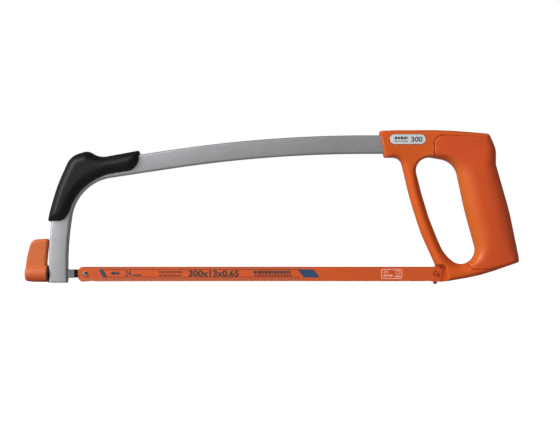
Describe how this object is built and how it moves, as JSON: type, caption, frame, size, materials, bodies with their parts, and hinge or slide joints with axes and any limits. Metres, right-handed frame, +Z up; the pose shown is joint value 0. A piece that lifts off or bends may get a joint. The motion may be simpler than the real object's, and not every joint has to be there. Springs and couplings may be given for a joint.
{
  "type": "hacksaw",
  "caption": "Hand hacksaw with bent rectangular tube frame, rubber front grip, D-shaped handle, wing knob blade tensioner and a fine-toothed blade on pins.",
  "frame": {"origin": "bottom centre of the bounding box, to within 1 mm along X", "axes": "+X along the blade towards the handle, +Z up from the blade to the top bar, the pins stick out towards -Y"},
  "size_m": [0.4221, 0.0276, 0.1319],
  "materials": {
    "tube_steel": "satin plated",
    "rod_steel": "dull zinc",
    "pin_steel": "turned",
    "pin_painted": "orange paint",
    "brass": "turned",
    "black_rubber": "matt moulded",
    "black_plastic": "moulded",
    "grey_plastic": "moulded",
    "cast_handle": "die-cast, painted orange",
    "soft_grip": "orange soft overmould",
    "knob_plastic": "orange moulded",
    "blade_paint": "orange paint with dark printed marks",
    "badge": "satin silver plate"
  },
  "bodies": {
    "frame": {"frame_tube": "tube_steel", "front_grip": "black_rubber", "leg_end_plug": "grey_plastic", "thrust_washer": "black_plastic", "handle_core": "cast_handle", "grip_sleeve": "soft_grip", "badge_plate": "badge", "tube_lock_pin_front": "pin_steel", "tube_lock_pin_rear": "pin_steel", "rear_blade_pin": "pin_painted", "lower_blade_pin": "pin_painted"},
    "knob": {"tension_knob": "knob_plastic", "knob_nut": "brass"},
    "draw_rod": {"blade_holder": "rod_steel", "front_blade_pin": "pin_steel"},
    "blade": {"saw_blade": "blade_paint"}
  },
  "joints": [
    {"name": "knob_turn", "type": "hinge", "parent": "frame", "child": "knob", "pos_m": [-0.2, 0, 0.0091], "axis": [-1, 0, 0], "range_deg": [0, 450]},
    {"name": "rod_slide", "type": "slide", "parent": "frame", "child": "draw_rod", "axis": [1, 0, 0], "range_m": [0, 0.00126]},
    {"name": "blade_slide", "type": "slide", "parent": "frame", "child": "blade", "axis": [1, 0, 0], "range_m": [0, 0.00064]}
  ],
  "couplings": [
    {"joint": "rod_slide", "follows": "knob_turn", "m_per_rad": 0.00015915},
    {"joint": "blade_slide", "follows": "knob_turn", "m_per_rad": 0.000079577}
  ]
}
